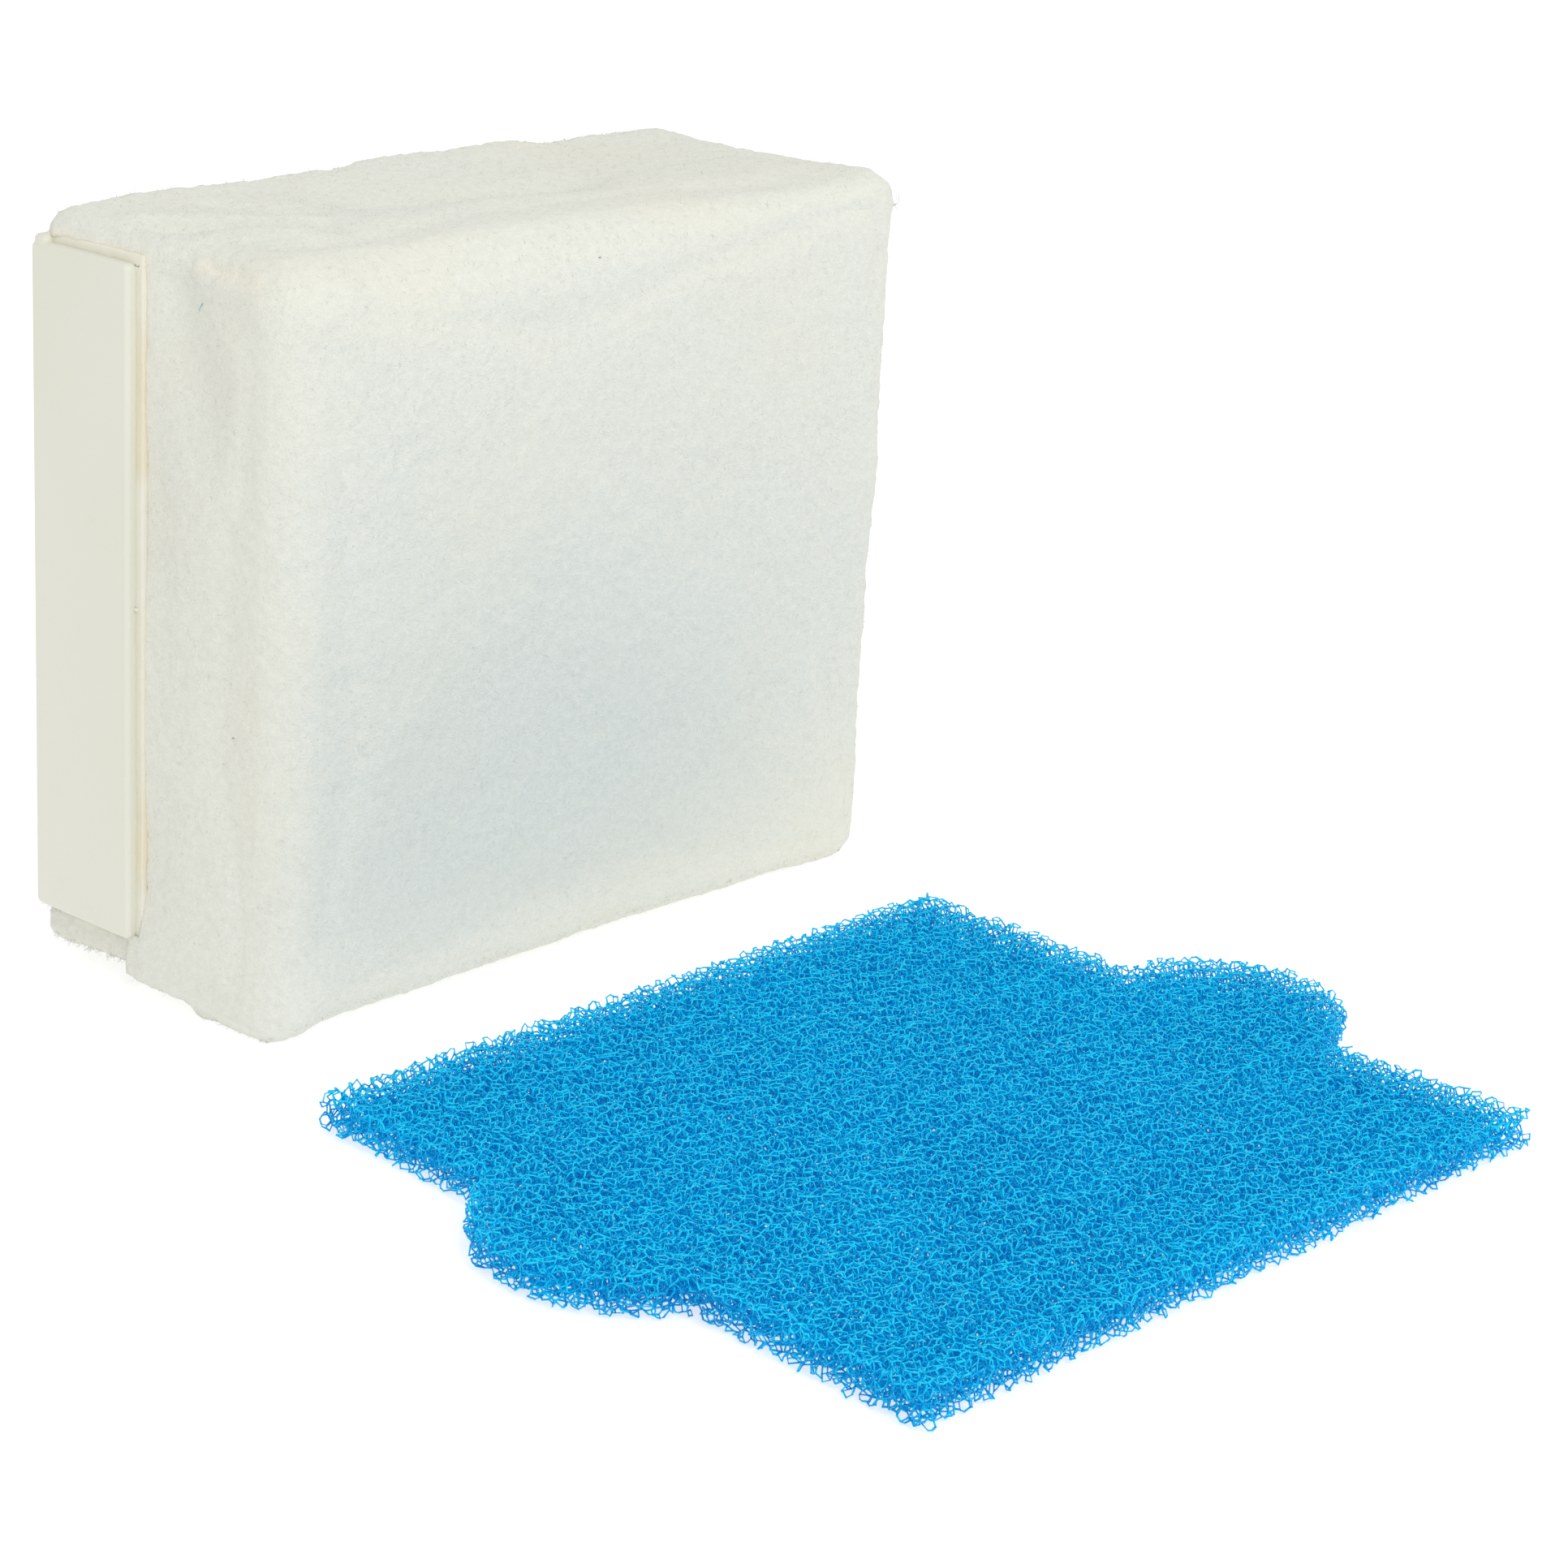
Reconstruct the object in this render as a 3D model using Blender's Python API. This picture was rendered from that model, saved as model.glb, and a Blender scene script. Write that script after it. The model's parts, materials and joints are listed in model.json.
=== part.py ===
"""Filter insert set: a fleece-wrapped cartridge and a loose coarse foam mat.

Metres, +Z up. The origin is the centre of the flat underside that the cartridge
stands on. +X runs along the cartridge, +Y towards its outlet grille. The mat
lies on the same surface, in front of the cartridge.
"""

import math

import bmesh
import bpy
from mathutils import Vector

# Clearance between touching pieces
GAP = 0.0003

# Cartridge, over the fleece
CARTRIDGE_WIDTH = 0.1853
CARTRIDGE_DEPTH = 0.0794
CARTRIDGE_HEIGHT = 0.1689

# Fleece jacket
JACKET_THICKNESS = 0.006
JACKET_EDGE_RADIUS = 0.010
JACKET_FOOT_RADIUS = 0.0022
JACKET_UNDERSIDE_DEPTH = 0.0492

# Rigid frame behind the wadding: its bottom height and its depth
FRAME_BOTTOM = 0.0128
FRAME_DEPTH = 0.0328
FRAME_WALL = 0.0020
PLATE_THICKNESS = 0.0029
PLATE_EDGE_RADIUS = 0.0008

# Outlet grille
GRILLE_THICKNESS = 0.0020
GRILLE_BORDER = 0.0060
GRILLE_BAR = 0.0020
GRILLE_COLUMNS = 9
GRILLE_ROWS = 7

# Fleece strip under the frame
STRIP_THICKNESS = 0.0081
STRIP_SIDE_INSET = 0.0004

# Hot-melt beads that close the joint between plates and jacket
BEAD_LEG = 0.0012
BEAD_END_INSET = 0.0020

# Foam mat, cut a little out of square, and its place in front of the cartridge
MAT_LENGTH_REAR = 0.1866
MAT_LENGTH_FRONT = 0.1926
MAT_WIDTH = 0.1688
MAT_THICKNESS = 0.0085
TAB_SPAN_LEFT = 0.0594
TAB_REACH_LEFT = 0.0194
TAB_OFFSET_LEFT = 0.0045
TAB_SPAN_RIGHT = 0.0540
TAB_REACH_RIGHT = 0.0262
TAB_OFFSET_RIGHT = -0.0042
TAB_SEGMENTS = 20
MAT_DISTANCE = 0.0372
MAT_SHIFT = -0.0238
MAT_TURN = math.radians(-2.0)

# Places that several pieces share
LEFT = -CARTRIDGE_WIDTH / 2
RIGHT = CARTRIDGE_WIDTH / 2
FRONT = -JACKET_UNDERSIDE_DEPTH / 2
REAR = FRONT + CARTRIDGE_DEPTH
UNDERSIDE_REAR = FRONT + JACKET_UNDERSIDE_DEPTH
FRAME_FRONT = REAR - FRAME_DEPTH
FRAME_TOP = CARTRIDGE_HEIGHT - JACKET_THICKNESS
FRAME_INNER_BOTTOM = FRAME_BOTTOM + FRAME_WALL + GAP
FRAME_INNER_TOP = FRAME_TOP - FRAME_WALL - GAP
CUT_MARGIN = 0.010


def clear_scene():
    for scene_object in list(bpy.data.objects):
        bpy.data.objects.remove(scene_object, do_unlink=True)


def make_material(name, colour, roughness, metallic=0.0):
    material = bpy.data.materials.new(name)
    material.use_nodes = True
    shader = material.node_tree.nodes["Principled BSDF"]
    shader.inputs["Base Color"].default_value = (*colour, 1.0)
    shader.inputs["Roughness"].default_value = roughness
    shader.inputs["Metallic"].default_value = metallic
    return material


def add_object(name, mesh_data, location, material=None, turn=0.0):
    """Turn a bmesh into a named object at its place."""
    bmesh.ops.recalc_face_normals(mesh_data, faces=mesh_data.faces)
    mesh = bpy.data.meshes.new(name)
    mesh_data.to_mesh(mesh)
    mesh_data.free()
    if material is not None:
        mesh.materials.append(material)
    new_object = bpy.data.objects.new(name, mesh)
    new_object.location = location
    new_object.rotation_euler = (0.0, 0.0, turn)
    bpy.context.collection.objects.link(new_object)
    return new_object


def box_mesh(size):
    """A box of the given size, centred on its own origin."""
    mesh_data = bmesh.new()
    bmesh.ops.create_cube(mesh_data, size=1.0)
    bmesh.ops.scale(mesh_data, vec=size, verts=mesh_data.verts)
    return mesh_data


def bevel_edges(mesh_data, keep_edge, radius, segments):
    """Round the edges whose two ends both pass the test."""
    edges = [edge for edge in mesh_data.edges if keep_edge(edge.verts[0].co, edge.verts[1].co)]
    bmesh.ops.bevel(mesh_data, geom=edges, offset=radius, segments=segments, profile=0.5,
                    affect="EDGES", clamp_overlap=True)


def add_box(name, low, high, material=None, radius=0.0, segments=2):
    """A box between two corners, with its edges rounded where a radius is given."""
    low = Vector(low)
    high = Vector(high)
    mesh_data = box_mesh(high - low)
    if radius > 0.0:
        bevel_edges(mesh_data, lambda start, end: True, radius, segments)
    return add_object(name, mesh_data, (low + high) / 2, material)


def add_rounded_block(name, low, high, radius, foot_radius, material=None, segments=5):
    """A box whose upper and upright edges are round and whose foot edge is tighter."""
    low = Vector(low)
    high = Vector(high)
    mesh_data = box_mesh(high - low)
    foot = -(high.z - low.z) / 2

    def above_foot(start, end):
        return max(start.z, end.z) > foot + radius

    def on_foot(start, end):
        return max(start.z, end.z) < foot + foot_radius / 4

    bevel_edges(mesh_data, above_foot, radius, segments)
    if foot_radius > 0.0:
        bevel_edges(mesh_data, on_foot, foot_radius, 2)
    return add_object(name, mesh_data, (low + high) / 2, material)


def make_cutter(cutter):
    cutter.hide_render = True
    cutter.display_type = "WIRE"
    return cutter


def cut(target, cutter):
    modifier = target.modifiers.new("cut_" + cutter.name, "BOOLEAN")
    modifier.operation = "DIFFERENCE"
    modifier.solver = "EXACT"
    modifier.object = cutter


def shade_round(target, angle_deg=40.0):
    target.data.shade_smooth()
    target.data.set_sharp_from_angle(angle=math.radians(angle_deg))


def build_jacket(material):
    """Outer fleece: front, top, underside and the front half of both sides."""
    jacket = add_rounded_block("fleece_jacket", (LEFT, FRONT, 0.0), (RIGHT, REAR, CARTRIDGE_HEIGHT),
                               JACKET_EDGE_RADIUS, JACKET_FOOT_RADIUS, material)
    inner_radius = max(JACKET_EDGE_RADIUS - JACKET_THICKNESS, JACKET_FOOT_RADIUS)
    cavity = add_rounded_block("jacket_cavity",
                               (LEFT + JACKET_THICKNESS, FRONT + JACKET_THICKNESS, JACKET_THICKNESS),
                               (RIGHT - JACKET_THICKNESS, REAR + CUT_MARGIN * 2, FRAME_TOP),
                               inner_radius, 0.0)
    beside_frame = add_box("beside_frame",
                           (LEFT - CUT_MARGIN, FRAME_FRONT - GAP, FRAME_BOTTOM - GAP),
                           (RIGHT + CUT_MARGIN, REAR + CUT_MARGIN, FRAME_TOP + GAP))
    below_frame = add_box("below_frame",
                          (LEFT - CUT_MARGIN, UNDERSIDE_REAR, -CUT_MARGIN),
                          (RIGHT + CUT_MARGIN, REAR + CUT_MARGIN, FRAME_BOTTOM + GAP))
    for cutter in (cavity, beside_frame, below_frame):
        cut(jacket, make_cutter(cutter))
    shade_round(jacket)


def build_wadding(material):
    """Soft block that fills the jacket in front of the rigid frame."""
    inset = JACKET_THICKNESS + GAP
    radius = max(JACKET_EDGE_RADIUS - inset, JACKET_FOOT_RADIUS)
    wadding = add_rounded_block("wadding_block",
                                (LEFT + inset, FRONT + inset, inset),
                                (RIGHT - inset, FRAME_FRONT - GAP, FRAME_TOP - GAP),
                                radius, 0.0, material, segments=3)
    shade_round(wadding)


def build_strip(material):
    """Fleece strip along the underside of the rigid frame, set back from the plates."""
    add_box("underside_fleece",
            (LEFT + STRIP_SIDE_INSET, UNDERSIDE_REAR + GAP, FRAME_BOTTOM - GAP - STRIP_THICKNESS),
            (RIGHT - STRIP_SIDE_INSET, REAR, FRAME_BOTTOM - GAP),
            material)


def build_plates(material):
    """The two end plates stand proud of the fleece on the outside."""
    spans = {"end_plate_left": (LEFT - PLATE_THICKNESS, LEFT),
             "end_plate_right": (RIGHT, RIGHT + PLATE_THICKNESS)}
    for name, (inner, outer) in spans.items():
        plate = add_box(name, (inner, FRAME_FRONT, FRAME_BOTTOM), (outer, REAR, FRAME_TOP),
                        material, PLATE_EDGE_RADIUS, 3)
        shade_round(plate)


def build_frame_walls(material):
    """Top and bottom walls that hold the end plates apart."""
    heights = {"frame_wall_top": FRAME_TOP - FRAME_WALL, "frame_wall_bottom": FRAME_BOTTOM}
    for name, height in heights.items():
        add_box(name, (LEFT + GAP, FRAME_FRONT, height), (RIGHT - GAP, REAR, height + FRAME_WALL),
                material)


def bar_edges(low, high, border, bar, count):
    """Edges of a row of equal windows between two borders, and whether each span is solid."""
    window = (high - low - 2 * border - (count - 1) * bar) / count
    edges = [low, low + border]
    for index in range(count):
        edges.append(edges[-1] + window)
        if index < count - 1:
            edges.append(edges[-1] + bar)
    edges.append(high)
    solid = [index % 2 == 0 for index in range(len(edges) - 1)]
    return edges, solid


def build_grille(material):
    """Outlet grille: a bordered grid of bars, extruded to its thickness."""
    low = Vector((LEFT + GAP, REAR - GRILLE_THICKNESS, FRAME_INNER_BOTTOM))
    high = Vector((RIGHT - GAP, REAR, FRAME_INNER_TOP))
    centre = (low + high) / 2
    across, across_solid = bar_edges(low.x, high.x, GRILLE_BORDER, GRILLE_BAR, GRILLE_COLUMNS)
    upward, upward_solid = bar_edges(low.z, high.z, GRILLE_BORDER, GRILLE_BAR, GRILLE_ROWS)
    mesh_data = bmesh.new()
    points = [[mesh_data.verts.new((x - centre.x, low.y - centre.y, z - centre.z)) for x in across]
              for z in upward]
    for row, row_solid in enumerate(upward_solid):
        for column, column_solid in enumerate(across_solid):
            if row_solid or column_solid:
                mesh_data.faces.new((points[row][column], points[row][column + 1],
                                     points[row + 1][column + 1], points[row + 1][column]))
    extruded = bmesh.ops.extrude_face_region(mesh_data, geom=mesh_data.faces[:])
    moved = [item for item in extruded["geom"] if isinstance(item, bmesh.types.BMVert)]
    bmesh.ops.translate(mesh_data, vec=(0.0, GRILLE_THICKNESS, 0.0), verts=moved)
    add_object("rear_grille", mesh_data, centre, material)


def build_core(material):
    """Fine sponge core inside the rigid frame, held by the grille."""
    add_box("core_sponge",
            (LEFT + GAP, FRAME_FRONT, FRAME_INNER_BOTTOM),
            (RIGHT - GAP, REAR - GRILLE_THICKNESS - GAP, FRAME_INNER_TOP),
            material)


def add_bead(name, start, direction, length, leg_a, leg_b, material):
    """A fillet bead: a right-angled corner section with a hollowed face, run along a line."""
    section = [Vector((0.0, 0.0, 0.0)), leg_a, (leg_a + leg_b) * 0.36, leg_b]
    mesh_data = bmesh.new()
    face = mesh_data.faces.new([mesh_data.verts.new(point) for point in section])
    extruded = bmesh.ops.extrude_face_region(mesh_data, geom=[face])
    moved = [item for item in extruded["geom"] if isinstance(item, bmesh.types.BMVert)]
    bmesh.ops.translate(mesh_data, vec=direction * length, verts=moved)
    add_object(name, mesh_data, start, material)


def build_beads(material):
    """Glue beads in front of each plate and along its top edge."""
    for side, face, outward in (("left", LEFT, -1.0), ("right", RIGHT, 1.0)):
        out = Vector((outward, 0.0, 0.0))
        add_bead("glue_bead_front_" + side,
                 Vector((face + outward * GAP, FRAME_FRONT - GAP, FRAME_BOTTOM + BEAD_END_INSET)),
                 Vector((0.0, 0.0, 1.0)), FRAME_TOP - FRAME_BOTTOM - 2 * BEAD_END_INSET,
                 Vector((0.0, -BEAD_LEG, 0.0)), out * BEAD_LEG, material)
        add_bead("glue_bead_top_" + side,
                 Vector((face, FRAME_FRONT + BEAD_END_INSET, FRAME_TOP + GAP)),
                 Vector((0.0, 1.0, 0.0)), FRAME_DEPTH - 2 * BEAD_END_INSET,
                 Vector((0.0, 0.0, BEAD_LEG)), out * BEAD_LEG, material)


def tab_points(span, reach, segments):
    """A round tab as (outward, along) pairs, from one end of its chord to the other."""
    radius = (span * span / 4 + reach * reach) / (2 * reach)
    half_angle = math.atan2(span / 2, radius - reach)
    points = []
    for index in range(segments + 1):
        angle = -half_angle + 2 * half_angle * index / segments
        points.append((reach - radius + radius * math.cos(angle), radius * math.sin(angle)))
    return points


def half_length(along):
    """Half of the mat's length, which runs evenly from the front side's to the rear side's."""
    share = along / MAT_WIDTH + 0.5
    return (MAT_LENGTH_FRONT + (MAT_LENGTH_REAR - MAT_LENGTH_FRONT) * share) / 2


def mat_outline():
    """Hand-cut mat, a little out of square, with a round tab on each of its two ends."""
    half_width = MAT_WIDTH / 2
    front_half = half_length(-half_width)
    rear_half = half_length(half_width)
    outline = [(-front_half, -half_width), (front_half, -half_width)]
    for outward, along in tab_points(TAB_SPAN_RIGHT, TAB_REACH_RIGHT, TAB_SEGMENTS):
        place = TAB_OFFSET_RIGHT + along
        outline.append((half_length(place) + outward, place))
    outline += [(rear_half, half_width), (-rear_half, half_width)]
    for outward, along in tab_points(TAB_SPAN_LEFT, TAB_REACH_LEFT, TAB_SEGMENTS):
        place = TAB_OFFSET_LEFT - along
        outline.append((-half_length(place) - outward, place))
    return outline


def build_mat(material):
    """Coarse foam mat, free to be lifted straight up."""
    mesh_data = bmesh.new()
    face = mesh_data.faces.new([mesh_data.verts.new((x, y, 0.0)) for x, y in mat_outline()])
    extruded = bmesh.ops.extrude_face_region(mesh_data, geom=[face])
    moved = [item for item in extruded["geom"] if isinstance(item, bmesh.types.BMVert)]
    bmesh.ops.translate(mesh_data, vec=(0.0, 0.0, MAT_THICKNESS), verts=moved)
    centre = (MAT_SHIFT, FRONT - MAT_DISTANCE - MAT_WIDTH / 2, 0.0)
    mat = add_object("foam_mat", mesh_data, centre, material, MAT_TURN)
    shade_round(mat)


def main():
    clear_scene()
    fleece = make_material("fleece", (0.76, 0.79, 0.72), 1.0)
    wadding = make_material("wadding", (0.80, 0.80, 0.76), 1.0)
    plastic = make_material("frame_plastic", (0.75, 0.74, 0.65), 0.4)
    sponge = make_material("core_sponge", (0.70, 0.70, 0.62), 0.95)
    glue = make_material("hot_melt", (0.72, 0.60, 0.34), 0.3)
    foam = make_material("blue_foam", (0.007, 0.30, 0.64), 0.6)
    build_jacket(fleece)
    build_wadding(wadding)
    build_strip(fleece)
    build_plates(plastic)
    build_frame_walls(plastic)
    build_grille(plastic)
    build_core(sponge)
    build_beads(glue)
    build_mat(foam)


main()
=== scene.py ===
import json
import math

import bmesh
import bpy
import numpy as np
from mathutils import Matrix, Vector, noise

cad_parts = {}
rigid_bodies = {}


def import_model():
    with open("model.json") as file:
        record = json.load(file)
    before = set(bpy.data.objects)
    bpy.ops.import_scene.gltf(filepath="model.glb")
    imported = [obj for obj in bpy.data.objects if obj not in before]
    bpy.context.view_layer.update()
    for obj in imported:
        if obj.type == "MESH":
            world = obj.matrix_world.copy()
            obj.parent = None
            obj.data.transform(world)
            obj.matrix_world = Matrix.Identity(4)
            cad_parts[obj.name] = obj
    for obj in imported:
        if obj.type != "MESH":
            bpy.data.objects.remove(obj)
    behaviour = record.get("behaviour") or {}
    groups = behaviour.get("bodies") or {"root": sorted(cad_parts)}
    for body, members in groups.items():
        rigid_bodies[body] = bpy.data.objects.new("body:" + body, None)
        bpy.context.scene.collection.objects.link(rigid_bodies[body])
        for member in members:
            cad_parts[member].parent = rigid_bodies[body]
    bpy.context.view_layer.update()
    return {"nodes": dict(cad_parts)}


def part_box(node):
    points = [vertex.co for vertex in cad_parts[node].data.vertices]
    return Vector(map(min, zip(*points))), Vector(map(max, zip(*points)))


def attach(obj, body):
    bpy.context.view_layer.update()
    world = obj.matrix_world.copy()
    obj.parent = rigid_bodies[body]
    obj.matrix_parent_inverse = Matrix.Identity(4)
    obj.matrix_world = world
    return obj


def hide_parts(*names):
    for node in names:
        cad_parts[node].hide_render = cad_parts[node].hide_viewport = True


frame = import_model()
jacketLow, jacketHigh = (Vector(corner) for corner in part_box("fleece_jacket"))
plateLow, plateHigh = (Vector(corner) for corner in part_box("end_plate_left"))
grilleHigh = Vector(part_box("rear_grille")[1])
stripLow, stripHigh = (Vector(corner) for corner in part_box("underside_fleece"))
matLow, matHigh = (Vector(corner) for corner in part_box("foam_mat"))
print("frame loaded", len(frame["nodes"]), "nodes")


# small helpers
def deselectAll():
    for thing in bpy.context.scene.objects:
        thing.select_set(False)


def pick(thing):
    deselectAll()
    thing.select_set(True)
    bpy.context.view_layer.objects.active = thing


def applyModifiers(thing):
    pick(thing)
    for modifier in list(thing.modifiers):
        bpy.ops.object.modifier_apply(modifier=modifier.name)


def bakePlace(thing):
    # puts the object's place into its mesh, so the object sits at the origin
    pick(thing)
    bpy.ops.object.transform_apply(location=True, rotation=True, scale=True)


def addBlock(name, low, high):
    deselectAll()
    bpy.ops.mesh.primitive_cube_add(size=1.0, location=(Vector(low) + Vector(high)) / 2)
    block = bpy.context.active_object
    block.name = name
    block.scale = Vector(high) - Vector(low)
    bakePlace(block)
    return block


def roundEdges(block, width, segments):
    bevel = block.modifiers.new("roundEdges", "BEVEL")
    bevel.width = width
    bevel.segments = segments
    applyModifiers(block)


def evenMesh(block, voxel):
    remesh = block.modifiers.new("evenMesh", "REMESH")
    remesh.mode = "VOXEL"
    remesh.voxel_size = voxel
    applyModifiers(block)


def smoothSurface(block, levels):
    subdivision = block.modifiers.new("smoothSurface", "SUBSURF")
    subdivision.levels = levels
    subdivision.render_levels = levels
    applyModifiers(block)


def cloudsDisplace(thing, name, size, depth, strength):
    # pushes the surface in and out along its normals by a procedural noise
    texture = bpy.data.textures.new(name, "CLOUDS")
    texture.noise_scale = size
    texture.noise_depth = depth
    modifier = thing.modifiers.new(name, "DISPLACE")
    modifier.texture = texture
    modifier.texture_coords = "LOCAL"
    modifier.strength = strength
    modifier.mid_level = 0.5


def triangleMesh(name, points, triangles):
    # one mesh object from arrays of points and of corner numbers
    mesh = bpy.data.meshes.new(name)
    mesh.vertices.add(len(points))
    mesh.vertices.foreach_set("co", np.ascontiguousarray(points, np.float32).ravel())
    mesh.loops.add(len(triangles) * 3)
    mesh.loops.foreach_set("vertex_index", np.ascontiguousarray(triangles, np.int32).ravel())
    mesh.polygons.add(len(triangles))
    mesh.polygons.foreach_set("loop_start", np.arange(0, len(triangles) * 3, 3, dtype=np.int32))
    mesh.update(calc_edges=True)
    mesh.shade_smooth()
    piece = bpy.data.objects.new(name, mesh)
    bpy.context.scene.collection.objects.link(piece)
    return piece


def readPoints(thing):
    points = np.empty(len(thing.data.vertices) * 3, np.float32)
    thing.data.vertices.foreach_get("co", points)
    return points.reshape(-1, 3).astype(float)


def writePoints(thing, points):
    thing.data.vertices.foreach_set("co", points.astype(np.float32).ravel())
    thing.data.update()


def softStep(value, low, high):
    share = np.clip((value - low) / (high - low), 0.0, 1.0)
    return share * share * (3.0 - 2.0 * share)


def rideOn(thing, body, material):
    thing.data.materials.clear()
    thing.data.materials.append(material)
    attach(thing, body)


# materials
def newMaterial(name):
    material = bpy.data.materials.new(name)
    material.use_nodes = True
    tree = material.node_tree
    return material, tree, tree.nodes["Principled BSDF"]


def noiseNode(tree, scale, detail=3.0, rough=0.5, kind="ShaderNodeTexNoise"):
    place = tree.nodes.get("place") or tree.nodes.new("ShaderNodeTexCoord")
    place.name = "place"
    texture = tree.nodes.new(kind)
    texture.inputs["Scale"].default_value = scale
    if kind == "ShaderNodeTexNoise":
        texture.inputs["Detail"].default_value = detail
        texture.inputs["Roughness"].default_value = rough
    tree.links.new(place.outputs["Object"], texture.inputs["Vector"])
    return texture


def heightRamp(tree, low, high, stops):
    # a ramp that runs up the object from low to high, in metres
    place = tree.nodes.new("ShaderNodeTexCoord")
    split = tree.nodes.new("ShaderNodeSeparateXYZ")
    share = tree.nodes.new("ShaderNodeMapRange")
    share.inputs["From Min"].default_value = low
    share.inputs["From Max"].default_value = high
    tree.links.new(place.outputs["Object"], split.inputs["Vector"])
    tree.links.new(split.outputs["Z"], share.inputs["Value"])
    return rampNode(tree, share.outputs["Result"], stops)


def rampNode(tree, source, stops):
    ramp = tree.nodes.new("ShaderNodeValToRGB")
    elements = ramp.color_ramp.elements
    while len(elements) < len(stops):
        elements.new(0.5)
    for element, (position, colour) in zip(elements, stops):
        element.position = position
        element.color = (*colour, 1.0)
    tree.links.new(source, ramp.inputs["Fac"])
    return ramp.outputs["Color"]


def grey(level):
    return (level, level, level)


def mixColours(tree, factor, first, second, blend="MIX"):
    mix = tree.nodes.new("ShaderNodeMix")
    mix.data_type = "RGBA"
    mix.blend_type = blend
    for name, value in (("Factor", factor), ("A", first), ("B", second)):
        socket = mix.inputs[name]
        if isinstance(value, bpy.types.NodeSocket):
            tree.links.new(value, socket)
        elif isinstance(value, float):
            socket.default_value = value
        else:
            socket.default_value = (*value, 1.0)
    return mix.outputs["Result"]


def bumpChain(tree, shader, layers):
    # layers of (height socket, distance in metres, strength), the coarse one first
    normal = None
    for height, distance, strength in layers:
        bump = tree.nodes.new("ShaderNodeBump")
        bump.inputs["Distance"].default_value = distance
        bump.inputs["Strength"].default_value = strength
        tree.links.new(height, bump.inputs["Height"])
        if normal is not None:
            tree.links.new(normal, bump.inputs["Normal"])
        normal = bump.outputs["Normal"]
    tree.links.new(normal, shader.inputs["Normal"])


fleeceLook = {
    "light": (0.783, 0.790, 0.716),
    "shade": (0.714, 0.722, 0.650),
    "yellow": (0.784, 0.766, 0.643),
    "soaked": (0.890, 0.820, 0.685),
}


def fleeceMaterial(name, tint):
    material, tree, shader = newMaterial(name)
    patches = noiseNode(tree, 17.0, 2.0)
    mottle = noiseNode(tree, 620.0, 4.0, 0.70)
    fibres = noiseNode(tree, 2300.0, 3.0, 0.65)
    shade = tuple(part * tint for part in fleeceLook["shade"])
    light = tuple(part * tint for part in fleeceLook["light"])
    base = rampNode(tree, mottle.outputs["Fac"], [(0.30, shade), (0.66, light)])
    warm = rampNode(tree, patches.outputs["Fac"], [(0.42, grey(0.0)), (0.72, grey(0.45))])
    felt = mixColours(tree, warm, base, fleeceLook["yellow"])
    soak = tree.nodes.new("ShaderNodeAttribute")
    soak.attribute_name = "glueSoak"
    colour = mixColours(tree, soak.outputs["Fac"], felt, fleeceLook["soaked"])
    tree.links.new(colour, shader.inputs["Base Color"])
    shader.inputs["Roughness"].default_value = 0.95
    shader.inputs["Specular IOR Level"].default_value = 0.15
    shader.inputs["Sheen Weight"].default_value = 0.10
    shader.inputs["Sheen Roughness"].default_value = 0.6
    bumpChain(tree, shader, [(mottle.outputs["Fac"], 0.0008, 0.42), (fibres.outputs["Fac"], 0.0004, 0.62)])
    return material


def fibreMaterial():
    material, tree, shader = newMaterial("fleeceFibre")
    tone = noiseNode(tree, 90.0, 1.0)
    colour = rampNode(tree, tone.outputs["Fac"], [(0.35, (0.74, 0.77, 0.70)), (0.65, (0.86, 0.87, 0.81))])
    tree.links.new(colour, shader.inputs["Base Color"])
    shader.inputs["Roughness"].default_value = 0.6
    shader.inputs["Specular IOR Level"].default_value = 0.3
    return material


def threadMaterial(name, dark, light):
    material, tree, shader = newMaterial(name)
    tone = noiseNode(tree, 600.0, 1.0)
    colour = rampNode(tree, tone.outputs["Fac"], [(0.35, dark), (0.65, light)])
    tree.links.new(colour, shader.inputs["Base Color"])
    shader.inputs["Roughness"].default_value = 0.6
    return material


plasticLook = {"colour": (0.708, 0.706, 0.612), "clear": (0.730, 0.732, 0.645), "dust": (0.665, 0.66, 0.575)}


def plasticMaterial():
    material, tree, shader = newMaterial("framePlastic")
    flow = noiseNode(tree, 14.0, 2.0)
    grain = noiseNode(tree, 2200.0, 2.0)
    scuffs = noiseNode(tree, 160.0, 6.0, 0.75)
    body = rampNode(tree, flow.outputs["Fac"], [(0.35, plasticLook["colour"]), (0.70, plasticLook["clear"])])
    marks = rampNode(tree, scuffs.outputs["Fac"], [(0.62, grey(0.0)), (0.80, grey(0.5))])
    tree.links.new(mixColours(tree, marks, body, plasticLook["dust"]), shader.inputs["Base Color"])
    gloss = rampNode(tree, scuffs.outputs["Fac"], [(0.30, grey(0.36)), (0.70, grey(0.50))])
    tree.links.new(gloss, shader.inputs["Roughness"])
    shader.inputs["Specular IOR Level"].default_value = 0.4
    bumpChain(tree, shader, [(flow.outputs["Fac"], 0.002, 0.12), (grain.outputs["Fac"], 0.00006, 0.35)])
    return material


# amber is the glue's own colour, darkened as painted shade for the corner beside the plate
glueLook = {"pale": (0.760, 0.742, 0.650), "amberAndShade": (0.745, 0.690, 0.530), "milky": (0.775, 0.765, 0.680)}


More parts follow.
